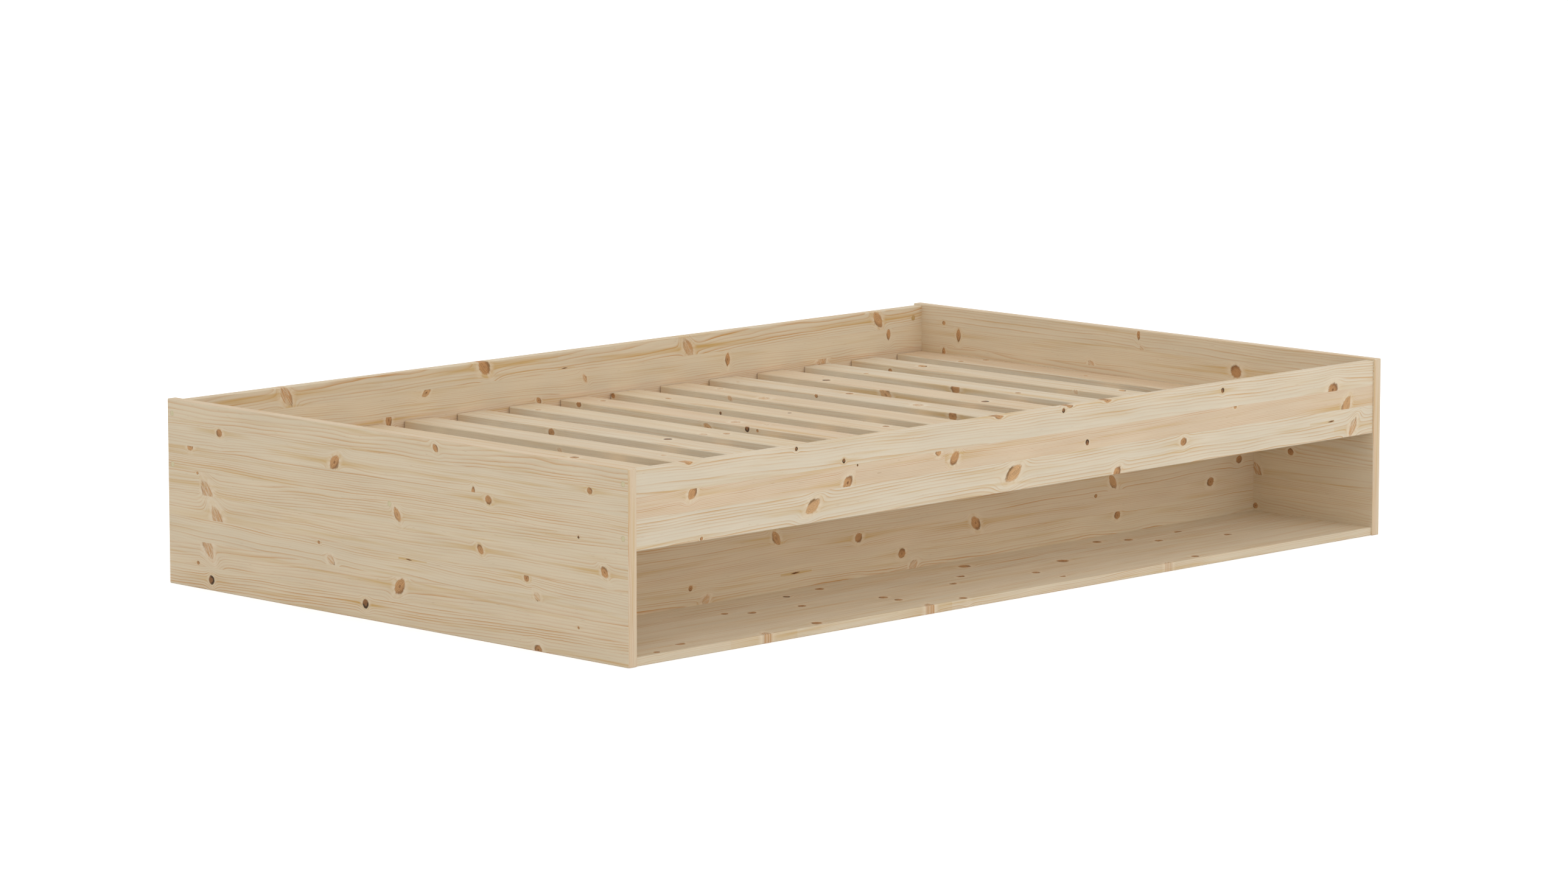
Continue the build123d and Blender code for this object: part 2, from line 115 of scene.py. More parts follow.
FRONT_RAIL_KNOTS = [
    (138, 87, 9, "rising", 0.5), (160, 4, 3.5, "brown", 0.2), (438, 30, 11, "fair", 0.5),
    (527, 63, 10, "rising", 0.4), (517, 104, 4, "black", 0.9), (552, 92, 2, "black", 0.1),
    (396, 138.5, 3.6, "black", 0.3), (763, 93, 7, "red", 0.2), (806, 78, 10, "rising", 0.6),
    (965, 33, 13, "fair", 0.3), (1101, 136, 4, "black", 0.4), (1167, 69, 5, "black", 0.3),
    (1250, 3, 9, "rising", 0.3), (1439, 42, 8, "brown", 0.4), (1551, 129, 4.5, "black", 0.8),
    (1588, 94, 4.5, "red", 0.3), (1878, 98, 13, "brown", 0.5), (1919, 63, 11, "rising fair", 0.5),
    (1875, 36, 1.4, "streak", 0.9), (1940, 18, 10, "rising leaf", 0.4), (130, 142.9, 4.5, "edge", 0.3),
    (926, 142.9, 5.5, "edge", 0.5), (1119, 142.9, 4, "edge", 0.3), (1224, 142.9, 5, "edge", 0.4),
]
BACK_RAIL_KNOTS = [
    (60, 20, 5, "black", 0.2), (150, 72, 8, "brown", 0.3), (252, 126, 12, "falling leaf", 0.8),
    (510, 53, 8, "upright", 0.4), (608, 97, 7, "fair", 0.2), (760, 133, 13, "falling", 0.9),
    (905, 52, 5.5, "falling", 0.3), (975, 110, 1.1, "streak", 0.4), (1030, 84, 5, "falling leaf", 0.3),
    (1317, 118, 12, "falling leaf", 0.9), (1429, 84, 7, "upright", 0.3), (1702, 54, 12, "rising leaf", 0.3),
    (1868, 126, 11, "falling fair", 0.8), (1900, 92, 6, "upright", 0.2),
]
RIGHT_PANEL_KNOTS = [
    (357, 291, 13, "brown", 0.6), (212, 144, 7, "brown", 0.3), (618, 341, 5, "upright", 0.2),
    (611, 314, 5, "pale", 0.2), (747, 269, 7, "pale", 0.2), (1120, 294, 6.5, "upright", 0.6),
    (1162, 316, 4.5, "red", 0.3), (1162, 255, 5, "upright", 0.2), (940, 190, 8, "rising", 0.5),
    (480, 210, 9, "brown", 0.6), (700, 118, 10, "falling", 0.4), (1020, 92, 7, "black", 0.5),
    (298, 99, 9, "rising leaf", 0.3), (302, 26, 6, "red", 0.2), (400, 34, 6, "black", 0.6),
    (860, 30, 10, "rising", 0.3),
]
NICHE_WALL_KNOTS = [
    (90, 60, 7, "brown", 0.3), (250, 150, 9, "brown", 0.2), (429, 33, 5, "brown", 0.4),
    (468, 6, 8, "pale", 0.2), (650, 100, 9, "falling fair", 0.5), (868, 76, 9, "brown", 0.8),
    (985, 32, 9, "brown", 0.6), (1016, 6, 9, "pale", 0.1), (1188, 67, 11, "falling", 0.7),
    (1579, 104, 9, "falling fair", 0.4), (1530, 81, 4, "brown", 0.2), (1593, 36, 8, "brown", 0.5),
    (1869, 72, 9, "brown", 0.4), (1955, 108, 8, "brown", 0.3), (700, 29, 1.6, "streak", 0.9),
]
NICHE_FLOOR_KNOTS = [
    (149, 44, 10, "brown", 0.4), (63, 14, 6, "brown", 0.2), (323, 0, 11, "rising leaf", 0.4),
    (461, 178, 9, "brown", 0.3), (417, 204, 7, "brown", 0.2), (468, 20, 10, "brown", 0.6),
    (575, 163, 8, "brown", 0.3), (727, 268, 9, "brown", 0.2), (624, 252, 7, "black", 0.2),
    (745, 121, 9, "brown", 0.4), (746, 83, 8, "brown", 0.3), (743, 0, 11, "rising leaf", 0.4),
    (1100, 251, 12, "brown", 0.4), (1013, 180, 9, "brown", 0.3), (945, 134, 8, "brown", 0.3),
    (1278, 161, 12, "brown", 0.4), (1149, 44, 7, "brown", 0.3), (1145, 108, 8, "brown", 0.2),
    (1488, 263, 9, "brown", 0.4), (1550, 236, 9, "brown", 0.3), (1585, 188, 9, "brown", 0.3),
    (1690, 230, 9, "brown", 0.3), (1735, 141, 9, "brown", 0.2), (1496, 18, 8, "brown", 0.4),
    (1400, 0, 9, "pale", 0.1), (844, 13, 8, "brown", 0.2),
]
# The slats' knots name the slat first, and lie across a face from its lower edge.
SLAT_TOP_KNOTS = [
    (0, 700, 30, 5, "brown", 0.3), (1, 560, 50, 6, "pale", 0.2), (2, 840, 22, 5, "brown", 0.3),
    (3, 621, 45, 9, "brown", 0.3), (4, 522, 42, 6, "pale", 0.1), (5, 665, 54, 8, "black", 0.3),
    (6, 637, 45, 7, "red", 0.2), (6, 663, 9, 8, "pale", 0.1), (6, 1128, 11, 7, "pale", 0.1),
    (7, 669, 47, 6, "pale", 0.1), (7, 734, 28, 10, "pale", 0.1), (7, 1129, 49, 6, "red", 0.1),
    (8, 489, 55, 7, "brown", 0.1), (8, 563, 73, 4, "pale", 0.2), (8, 748, 53, 4, "black", 0.1),
    (8, 1062, 27, 6, "red", 0.1), (9, 928, 24, 12, "pale", 0.6), (9, 1089, 60, 7, "pale", 0.1),
    (10, 646, 34, 12, "pale", 0.2), (10, 856, 56, 8, "brown", 0.4), (10, 1134, 17, 3, "red", 0.1),
    (11, 588, 27, 8, "black", 0.2), (11, 1026, 25, 8, "black", 0.2), (11, 1062, 53, 3, "pale", 0.1),
    (12, 624, 25, 6, "brown", 0.2), (12, 1038, 16, 5, "red", 0.1), (13, 500, 60, 7, "fair", 0.2),
    (13, 1034, 40, 9, "fair", 0.3), (14, 697, 31, 4, "pale", 0.1), (14, 1005, 64, 7, "red", 0.1),
    (14, 1029, 13, 6, "red", 0.1),
]
SLAT_SIDE_KNOTS = [
    (0, 950, 9, 6, "brown", 0.3), (1, 640, 8, 4, "red", 0.2), (2, 1080, 10, 6, "fair", 0.3),
    (3, 900, 12, 4, "brown", 0.2), (4, 760, 6, 5, "pale", 0.2), (5, 931, 9, 8, "brown", 0.5),
    (7, 646, 13, 3, "brown", 0.2), (7, 674, 14, 6, "black", 0.3), (7, 781, 4, 8, "fair", 0.3),
    (7, 1147, 14, 6, "brown", 0.5), (8, 887, 9, 3, "black", 0.2), (8, 1193, 13, 5, "brown", 0.1),
    (9, 1001, 14, 5, "pale", 0.1), (10, 520, 12, 10, "brown", 0.9), (10, 895, 15, 4, "brown", 0.2),
    (11, 834, 9, 11, "fair", 0.8), (12, 773, 15, 11, "brown", 1.0), (13, 571, 15, 5, "pale", 0.1),
    (13, 1087, 7, 5, "brown", 0.2),
]

# Where each stave starts, up from the rail's bottom edge, and where the last ends. Millimetres.
FRONT_RAIL_BORDERS = [0, 56, 95, 143]
BACK_RAIL_BORDERS = [0, 15.25, 59, 102.75, 143]
# The end panels are glued up from staves of this width. The last one is narrower.
PANEL_STAVE = 44.4
# Invented knots are smaller on staves narrower than this.
SLIM_STAVE = 44
SLAT_SIDE = 18
# Staves as ring spacing in millimetres, where the pith lies, tone from yellow to pink, contrast.
FRONT_RAIL_STAVES = [(5.4, 0.16, 0.05, 0.65), (2.6, 0.86, 0.9, 0.7), (4.6, 0.2, 0.1, 0.65)]
BACK_RAIL_STAVES = [(3.2, 0.85, 0.85, 0.8)] * 2 + [(2.6, 0.12, 0.45, 0.5), (4.2, 0.8, 0.3, 0.85)]
PANEL_EDGE_STAVE = (2.4, 0.9, 0.8, 0.5)

# How far the webbing sags between slats, and the power of a lamp of strength one, in watts.
WEBBING_DIP = 1.6 * MM
LAMP_POWER = 230


def linear(code):
    """The linear-light colour of an sRGB hex value."""
    parts = [int(code[start : start + 2], 16) / 255 for start in (1, 3, 5)]
    return tuple(part / 12.92 if part <= 0.04045 else ((part + 0.055) / 1.055) ** 2.4 for part in parts)


def add(tree, kind, links=(), mode="", stops=(), **settings):
    """Add a node with its mode, settings and ramp stops, and link or set its inputs by order or key.

    A math node without a mode multiplies its first two inputs, and adds the third if it's given.
    """
    made = tree.nodes.new("ShaderNode" + kind)
    if not isinstance(links, (tuple, dict)):
        links = (links,)
    if kind.endswith("Math") and not mode:
        mode = "MULTIPLY_ADD" if len(links) > 2 else "MULTIPLY"
    if mode:
        setattr(made.color_ramp if kind == "ValToRGB" else made, MODES.get(kind, "operation"), mode)
    for name, value in settings.items():
        setattr(made, name, value)
    for number, (place, colour) in enumerate(stops):
        ramp = made.color_ramp.elements
        stop = ramp[number] if number < len(ramp) else ramp.new(place)
        stop.position = place
        stop.color = colour
    for key, value in links.items() if isinstance(links, dict) else enumerate(links):
        if isinstance(value, bpy.types.Node):
            value = next(socket for socket in value.outputs if socket.enabled)
        if isinstance(value, bpy.types.NodeSocket):
            tree.links.new(value, made.inputs[key])
        elif value is not None:
            made.inputs[key].default_value = value
    return made


def new_material(name):
    """An empty node material, a call that adds nodes to it and its object coordinates."""
    made = bpy.data.materials.new(name)
    made.use_nodes = True
    made.node_tree.nodes.clear()
    put = functools.partial(add, made.node_tree)
    return made, put, put("TexCoord").outputs["Object"]


def equal_staves(height, rows):
    """The borders of equally wide staves."""
    return [height * number / rows for number in range(rows + 1)]


def knot_cells(knots, length, borders, widest):
    """Where each knot's stretch of its stave begins, and two lists of ramp stops for the knots."""
    begins, places, looks = [], [], []
    for row, (low, high) in enumerate(zip(borders, borders[1:])):
        here = sorted(knot for knot in knots if low <= knot[1] < high)
        if not here:
            here = [(0, low, 0, "brown", 0)]
        for number, (along, across, radius, kind, streak) in enumerate(here):
            # Two knots meet nearer to the smaller one.
            last, _, last_radius, *_ = here[number - 1]
            before = (last + (along - last) * last_radius / (last_radius + radius)) / length if number else 0
            place = max(len(begins) - 0.5, 0) / RAMP_STEPS
            begins.append(row + before)
            stretch, turn, rim, dark = KNOT_KINDS[kind]
            inside = (across - low) / widest / 2 + 0.25
            places.append((place, (along / length, inside, radius / KNOT_LIMIT, dark)))
            looks.append((place, ((stretch - 1) / STRETCH_LIMIT, turn / 180 + 0.5, rim, streak)))
    return begins, places, looks


def scattered_knots(seed, length, borders, count, width=None):
    """Knots in places of their own for boards that the photograph hardly shows."""
    chance = random.Random(seed)
    kinds = ["brown", "brown", "red", "black", "rising", "falling", "pale", "fair", "streak"]
    knots = []
    for low, high in zip(borders, borders[1:]):
        seen = width or high - low
        for number in range(count):
            along = (number + chance.uniform(0.15, 0.85)) * length / count
            across = (low + high) / 2 + chance.uniform(-0.4, 0.4) * seen
            kind = chance.choice(kinds)
            scale = min(seen / SLIM_STAVE, 1)
            radius = 1.2 if kind == "streak" else chance.choice([2.5, 3, 5, 7, 9, 11]) * scale
            knots.append((along, across, radius, kind, chance.uniform(0, 0.7)))
    return knots


def scattered_staves(seed, rows, strength, tones):
    """Ring spacing, pith, tone and contrast for each stave of a board."""
    chance = random.Random(seed)
    piths = [0.03, 0.08, 0.14, 0.19, 0.82, 0.88, 0.94, 0.98, 0.36]
    return [
        (chance.uniform(2.8, 5.4), chance.choice(piths), chance.uniform(*tones),
         strength * chance.uniform(0.7, 1.1))
        for _ in range(rows)
    ]


def wire_surface(put, tint, roughness, height, strength, depth, more=None):
    """Add a material's relief, of a depth in millimetres, its shader and its output."""
    relief = put("Bump", {"Height": height, "Strength": strength, "Distance": depth * MM})
    links = {"Base Color": tint, "Roughness": roughness, "Normal": relief}
    put("OutputMaterial", put("BsdfPrincipled", links | (more or {})))


def pine(name, axes, start, length, borders, rows, staves, knots, edge=None):
    """Planed, untreated pine: pale matt wood with tan growth lines that bend round its knots.

    axes names the board's along, across and through axes, start is where it begins, in metres,
    rows counts the staves that lie side by side, and edge gives the faces that show another
    stave: their normals, their own axes and start, and how their row follows from the face's.
    A MapRange has its value first, then from, to, and what it gives at each.
    """
    look = bpy.context.scene.bed_finish
    made, put, where = new_material(name)
    total = len(staves)
    stave = max(high - low for low, high in zip(borders, borders[1:]))
    begins, places, looks = knot_cells(knots, length, borders, stave)

    # Places in millimetres along, across and through the board.
    local = put("VectorMath", (where, start), "SUBTRACT")
    local = put("VectorMath", {0: local, "Scale": 1 / MM}, "SCALE")
    parts = put("SeparateXYZ", local)
    along, across, through = (parts.outputs[axis] for axis in axes)
    height = borders[rows]
    row_stops = [
        (max(low / height - 0.5 / RAMP_STEPS, 0), (number / total, low / height, 0, 1))
        for number, low in enumerate(borders[:rows])
    ]
    share = put("Math", (across, 1 / height), use_clamp=True)
    held = put("SeparateColor", put("ValToRGB", share, "CONSTANT", row_stops)).outputs
    row = put("Math", (held[0], total))
    inside = put("Math", (held[1], -height, across))
    if edge:
        local = put("VectorMath", (where, edge["start"]), "SUBTRACT")
        local = put("VectorMath", {0: local, "Scale": 1 / MM}, "SCALE")
        facing = put("NewGeometry").outputs["Normal"]
        dots = [(facing, edge["faces"]), (local, edge["along"]), (local, edge["across"])]
        turned, edge_along, edge_across = (put("VectorMath", dot, "DOT_PRODUCT") for dot in dots)
        turned = put("Math", (put("Math", turned, "ABSOLUTE"), 0.5), "GREATER_THAN")
        edge_row = put("Math", (row, edge["keep"], edge["shift"]))
        swaps = ((along, edge_along), (inside, edge_across), (through, 0), (row, edge_row))
        along, inside, through, row = (put("Mix", {0: turned, 2: a, 3: b}) for a, b in swaps)
    point = put("CombineXYZ", (along, inside, through))
    # What sets the staves' noise apart.
    apart = put("VectorMath", (put("CombineXYZ", (row, row, row)), (7.7, 3.1, 5.3)))

    # The stave's own ring spacing, pith, tone and contrast.
    share = put("Math", (row, 1 / total, 0.5 / total))
    stave_stops = [
        (max(number / total - 0.002, 0), (spacing / SPACING_LIMIT, pith, tone, min(contrast, 1)))
        for number, (spacing, pith, tone, contrast) in enumerate(staves)
    ]
    own = put("ValToRGB", share, "CONSTANT", stave_stops)
    spacing, pith_share, tone = put("SeparateColor", own).outputs
    spacing = put("Math", (spacing, SPACING_LIMIT))
    contrast = own.outputs["Alpha"]

    # The knot that lies in this stretch of the stave.
    share = put("Math", (along, 1 / length))
    share = put("Clamp", (share, 0.0001, 0.9999))
    share = put("Math", (share, row), "ADD")
    cell = 0
    for begin in begins[1:]:
        passed = put("Math", (share, begin), "GREATER_THAN")
        cell = put("Math", (cell, passed), "ADD")
    cell = put("Math", (cell, 1 / RAMP_STEPS))
    place, shape = (put("ValToRGB", cell, "CONSTANT", stops) for stops in (places, looks))
    knot_along, knot_across, radius = put("SeparateColor", place).outputs
    stretched, turn, rim = put("SeparateColor", shape).outputs
    dark, streak = place.outputs["Alpha"], shape.outputs["Alpha"]
    knot_along = put("Math", (knot_along, length))
    knot_across = put("Math", (knot_across, 2 * stave, -0.5 * stave))
    radius = put("Math", (radius, KNOT_LIMIT))
    radius = put("Math", (radius, 0.01), "MAXIMUM")
    stretch = put("Math", (stretched, STRETCH_LIMIT, 1))
    turn = put("Math", (turn, math.pi, -math.pi / 2))
    gap_along = put("Math", (along, knot_along), "SUBTRACT")
    gap_across = put("Math", (inside, knot_across), "SUBTRACT")
    gap = put("CombineXYZ", (gap_along, gap_across))
    way = put("VectorMath", gap, "NORMALIZE")
    lean = put("VectorRotate", {"Vector": gap, "Angle": turn}, "Z_AXIS", invert=True)
    reach = put("Math", (radius, stretch))
    oval = put("CombineXYZ", (reach, radius, 1))
    scaled = put("VectorMath", (lean, oval), "DIVIDE")
    own_place = put("VectorMath", (place, (41, 37, 29), apart))

    # Noise in the knot by waves per millimetre along and across, and in the wood by the waves'
    # length and width in millimetres. The fibres are drawn 1.5 mm wide, which is coarser than the
    # real ones, so that they show.
    sources = [
        (key, spot, (*scale, 0), own_place, detail)
        for key, spot, scale, detail in (
            ("ragged", gap, (0.2, 0.2), 3), ("spokes", way, (2.6, 2.6), 2),
            ("frayed", lean, (0.07, 0.6), 2), ("stripes", lean, (0.05, 0.55), 2),
        )
    ] + [
        (key, point, (1 / size, 1 / width, 1 / width), apart, detail)
        for key, size, width, detail in (
            ("long", 330, 110, 1), ("middling", 130, 36, 1), ("short", 40, 14, 1), ("worn", 150, 12, 1),
            ("gold", 260, 9, 2), ("blotch", 180, 45, 2), ("fibre", 70, 1.5, 3), ("canals", 17, 1.3, 0),
        )
    ]
    noise = {}
    for key, spot, scale, offset, detail in sources:
        spot = put("VectorMath", (spot, scale, offset))
        noise[key] = put("TexNoise", {"Vector": spot, "Scale": 1, "Detail": detail})
    # What a stave draws from its pith and a knot from its place: the pith's depth, the grain's
    # slope, and how much of its own pith the knot shows, as not every knot is cut through it.
    drawn = []
    for source, factor, span, least in (
        (pith_share, 7.31, 46, 14), (pith_share, 13.7, 0.05, -0.025), (knot_along, 0.37, 1, 0),
    ):
        source = put("Math", (source, factor))
        source = put("Math", source, "FRACT")
        drawn.append(put("Math", (source, span, least)))
    depth, slope, cut = drawn

    # The more a knot is stretched, the more pointed its ends are. Its fibres fray them.
    ends = put("SeparateXYZ", scaled).outputs
    sharp = put("Math", (stretched, 4), use_clamp=True)
    taper = put("Math", (ends[0], 2), "POWER")
    taper = put("Math", (taper, sharp, 1))
    taper = put("Math", (taper, ends[1]))
    far = put("VectorMath", put("CombineXYZ", (ends[0], taper)), "LENGTH")
    off_knot = put("Math", (noise["ragged"], 0.3, far))
    off_knot = put("Math", (noise["frayed"], 0.25, off_knot))
    off_knot = put("Math", (off_knot, 0.275), "SUBTRACT")

    # Growth lines flow round the knot like water round a stone.
    wide = put("VectorMath", (scaled, (0.8, 0.9, 0)))
    flow = put("VectorMath", wide, "LENGTH")
    fade = put("MapRange", (flow, 1, 3.4, 1, 0), "SMOOTHSTEP")
    squared = put("Math", (flow, 1), "MAXIMUM")
    squared = put("Math", (squared, 2), "POWER")
    pull = put("Math", (fade, squared), "DIVIDE")
    shift = put("Math", (gap_across, pull))
    flowing = put("Math", (inside, shift), "SUBTRACT")
    swell = put("Math", (radius, pull))

    # Rings round a pith that lies below the board, warped slowly along the grain.
    spread = put("Math", (pith_share, -2.2 * stave, 0.6 * stave))
    sideways = put("Math", (flowing, spread), "ADD")
    below = put("Math", (through, depth), "ADD")
    rings = put("VectorMath", put("CombineXYZ", (sideways, below)), "LENGTH")
    bends = ((noise["long"], 18), (noise["middling"], 5), (noise["short"], 0.8), (swell, 0.3), (along, slope))
    for bend, amount in bends:
        rings = put("Math", (bend, amount, rings))
    phase = put("Math", (rings, spacing), "DIVIDE")
    uneven = put("TexNoise", {"Vector": put("CombineXYZ", (phase, row)), "Scale": 0.45, "Detail": 1})
    phase = put("Math", (uneven, 1.2, phase))
    late = put("Math", phase, "FRACT")
    profile = [(0, 0.25), (0.08, 0), (0.5, 0.12), (0.78, 0.55), (0.9, 1), (1, 0.25)]
    late = put("ValToRGB", late, stops=[(at, (dim, dim, dim, 1)) for at, dim in profile])
    year = put("CombineXYZ", (put("Math", phase, "FLOOR"), row))
    year = put("TexWhiteNoise", {"Vector": year}, "2D")
    year = put("MapRange", (year, 0, 1, 0.2, 1.15))
    worn = put("MapRange", (noise["worn"], 0.35, 0.65, 0.55, 1.25))
    for factor in (year, contrast, worn):
        late = put("Math", (late, factor))
    late = put("Math", (late, look.line_strength), use_clamp=True)

    # Pale early wood and tan late wood, each from yellow to pink by the stave's tone, and the
    # knot's heart from pale to dark.
    early_wood, late_wood, heart = (
        put("ValToRGB", at, stops=[
            (number / (len(shades) - 1), (*shade, 1)) for number, shade in enumerate(shades)
        ])
        for at, shades in (
            (tone, (look.cream, look.honey, look.blush)), (tone, (look.straw, look.tan)),
            (dark, (look.heart, look.shell, look.pith)),
        )
    )
    colour = put("Mix", {0: late, 6: early_wood, 7: late_wood}, "RGBA")

    # Soft bands of golden sapwood, and a golden streak on both sides of a knot. The stronger a
    # streak is, the longer.
    gold = put("MapRange", (noise["gold"], 0.52, 0.76, 0, 0.4), "SMOOTHSTEP")
    trail = put("Math", (put("Math", gap_along, "ABSOLUTE"), reach), "DIVIDE")
    tail = put("Math", (streak, 10, 3))
    trail = put("MapRange", (trail, 1, tail, 1, 0))
    hug = put("Math", put("Math", (flowing, knot_across), "SUBTRACT"), "ABSOLUTE")
    band = put("Math", (radius, 0.6, 2))
    hug = put("Math", (hug, band), "DIVIDE")
    hug = put("MapRange", (hug, 0.2, 1, 1, 0), "SMOOTHSTEP")
    for factor in (hug, streak, noise["gold"]):
        trail = put("Math", (trail, factor))
    gold = put("Math", (trail, 1.3, gold), use_clamp=True)
    colour = put("Mix", {0: gold, 6: colour, 7: (*look.gold, 1)}, "RGBA")

    # Blotches, fibres and resin canals, which are short brown dashes along the grain.
    light = put("Math", (noise["blotch"], 0.14, 0.88))
    light = put("Math", (noise["fibre"], 0.1, light))
    colour = put("VectorMath", {0: colour, "Scale": light}, "SCALE")
    canals = put("MapRange", (noise["canals"], 0.8, 0.87, 0, 0.3))
    colour = put("Mix", {0: canals, 6: colour, 7: (*look.resin, 1)}, "RGBA")

    # The knot: a pale halo with flames, and a ringed and fibrous heart that is darker at its
    # pith and on one side.
    halo = put("MapRange", (off_knot, 1, 2.4, 0.75, 0), "SMOOTHSTEP")
    flames = put("MapRange", (noise["spokes"], 0.36, 0.62, 0.4, 1))
    large = put("MapRange", (radius, 2, 9, 0.25, 1))
    for factor in (flames, large):
        halo = put("Math", (halo, factor))
    colour = put("Mix", {0: halo, 6: colour, 7: (*look.halo, 1)}, "RGBA")
    rimmed = put("MapRange", (rim, 0.03, 0.08, 0, 1))
    core = put("MapRange", (far, 0.08, 0.3, 0.9, 0), "SMOOTHSTEP")
    for factor in (rimmed, cut):
        core = put("Math", (core, factor))
    swing = put("VectorRotate", {"Vector": way, "Angle": knot_along}, "Z_AXIS")
    swing = put("SeparateXYZ", swing).outputs[0]
    crescent = put("MapRange", (swing, 0, 0.9, 0, 0.65), "SMOOTHSTEP")
    outer = put("MapRange", (off_knot, 0.4, 0.85, 0, 1))
    heavy = put("MapRange", (dark, 0.15, 0.45, 0.3, 1))
    faint = put("MapRange", (rimmed, 0, 1, 0.35, 1))
    for factor in (outer, heavy, faint):
        crescent = put("Math", (crescent, factor))
    core = put("Math", (core, crescent), "MAXIMUM")
    heart = put("Mix", {0: core, 6: heart, 7: (*look.pith, 1)}, "RGBA")
    # The knot's own rings are 2.6 mm apart.
    dim = put("Math", (noise["ragged"], 0.2, far))
    for factor in (radius, 2 * math.pi / 2.6):
        dim = put("Math", (dim, factor))
    dim = put("MapRange", (put("Math", dim, "SINE"), -0.3, 1, 1.08, 0.86))
    fibres = put("MapRange", (noise["frayed"], 0.35, 0.65, 0.88, 1.12))
    dim = put("Math", (dim, fibres))
    heart = put("VectorMath", {0: heart, "Scale": dim}, "SCALE")
    # Knots without a rim are flamed: stripes along their own length over pale wood.
    body = put("MapRange", (off_knot, 0.8, 1.12, 1, 0), "SMOOTHSTEP")
    stripes = put("MapRange", (noise["stripes"], 0.4, 0.58, 0.25, 0.95))
    soft = put("MapRange", (dark, 0.1, 0.4, 0.45, 1))
    stripes = put("Math", (stripes, soft))
    solid = put("Math", (rimmed, stripes), "MAXIMUM")
    body = put("Math", (body, solid))
    colour = put("Mix", {0: body, 6: colour, 7: heart}, "RGBA")

    # The more of a rim of bark a knot has, the wider it is. One side of the knot holds more of it.
    bark = put("Math", (rim, 0.25, off_knot))
    bark = put("Math", put("Math", (bark, 1), "SUBTRACT"), "ABSOLUTE")
    bark = put("Math", (rim, -0.15, bark))
    bark = put("MapRange", (bark, 0.03, 0.22, 1, 0), "SMOOTHSTEP")
    deep = put("MapRange", (rim, 0.3, 0.9, 0.35, 1))
    bark_colour = put("Mix", {0: deep, 6: (*look.resin, 1), 7: (*look.bark, 1)}, "RGBA")
    patchy = put("Math", (swing, 0.8))
    for source, amount in ((rim, 1.15), (noise["frayed"], 1.6)):
        patchy = put("Math", (source, amount, patchy))
    patchy = put("MapRange", (patchy, 1.6, 1.9, 0, 0.9))
    bark = put("Math", (bark, patchy))
    colour = put("Mix", {0: bark, 6: colour, 7: bark_colour}, "RGBA")

    # Knots are planed smoother than the wood, whose fibres leave a faint relief.
    knot = put("Math", (body, bark), "MAXIMUM")
    rough = put("MapRange", (knot, 0, 1, 0.68, 0.6))
    wire_surface(put, colour, rough, noise["fibre"], 0.2, 0.1, {"Specular IOR Level": 0.12})
    return made


def moulded_plastic(name, colour, roughness):
    """Injection-moulded polyethylene: even colour with a faint cloudiness and a satin spark-eroded skin."""
    made, put, where = new_material(name)
    # The tool's spark-eroded texture is 0.4 mm across.
    skin, cloud = (
        put("TexNoise", {"Vector": where, "Scale": 1 / (size * MM), "Detail": 2}) for size in (0.4, 4)
    )
    light = put("MapRange", (cloud, 0.3, 0.7, 0.94, 1.06))
    tint = put("VectorMath", {0: colour, "Scale": light}, "SCALE")
    rough = put("MapRange", (skin, 0.3, 0.7, roughness - 0.06, roughness + 0.06))
    wire_surface(put, tint, rough, skin, 0.2, 0.03)
    return made


def zinc_metal(name, colour, roughness, grain):
    """Zinc over steel or cast zinc: dull grey metal with a mottled, slightly patchy skin."""
    made, put, where = new_material(name)
    patch = put("TexNoise", {"Vector": where, "Scale": 1 / (grain * MM), "Detail": 3})
    light = put("MapRange", (patch, 0.3, 0.7, 0.85, 1.1))
    tint = put("VectorMath", {0: colour, "Scale": light}, "SCALE")
    rough = put("MapRange", (patch, 0.3, 0.7, roughness - 0.1, roughness + 0.12))
    wire_surface(put, tint, rough, patch, 0.15, 0.03, {"Metallic": 1})
    return made


def milled_beech(name, colour, fleck_colour):
    """Milled beech dowel: pinkish tan with short dark ray flecks along the grain."""
    made, put, where = new_material(name)
    # Ray flecks are 3 mm long and 0.5 mm wide, and the dowels lie along X.
    flecks = put("VectorMath", (where, (1 / (3 * MM), 1 / (0.5 * MM), 1 / (0.5 * MM))))
    flecks = put("TexNoise", {"Vector": flecks, "Scale": 1, "Detail": 1})
    amount = put("MapRange", (flecks, 0.55, 0.7, 0, 0.7))
    tint = put("Mix", {0: amount, 6: (*colour, 1), 7: (*fleck_colour, 1)}, "RGBA")
    wire_surface(put, tint, 0.6, flecks, 0.2, 0.1)
    return made


def cotton_webbing(name, colour):
    """Woven cotton webbing: off-white yarn in a plain weave with a soft, dull sheen."""
    made, put, where = new_material(name)
    # Yarns are 1.1 mm apart both ways.
    turns = 2 * math.pi / (2.2 * MM)
    phase = put("VectorMath", {0: where, "Scale": turns}, "SCALE")
    waves = put("SeparateXYZ", put("VectorMath", phase, "SINE")).outputs
    weave = put("Math", (waves[0], waves[1]))
    fuzz = put("TexNoise", {"Vector": where, "Scale": 1 / (0.6 * MM), "Detail": 3})
    light = put("Math", (weave, 0.12, 0.9))
    light = put("Math", (fuzz, 0.2, light))
    tint = put("VectorMath", {0: colour, "Scale": light}, "SCALE")
    wire_surface(put, tint, 0.9, weave, 0.6, 0.25, {"Sheen Weight": 0.3})
    return made


def finish_node(node, material):
    """Give a CAD node's own object a material in every slot."""
    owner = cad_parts[node]
    if not owner.material_slots:
        owner.data.materials.append(material)
    for held in owner.material_slots:
        held.material = material


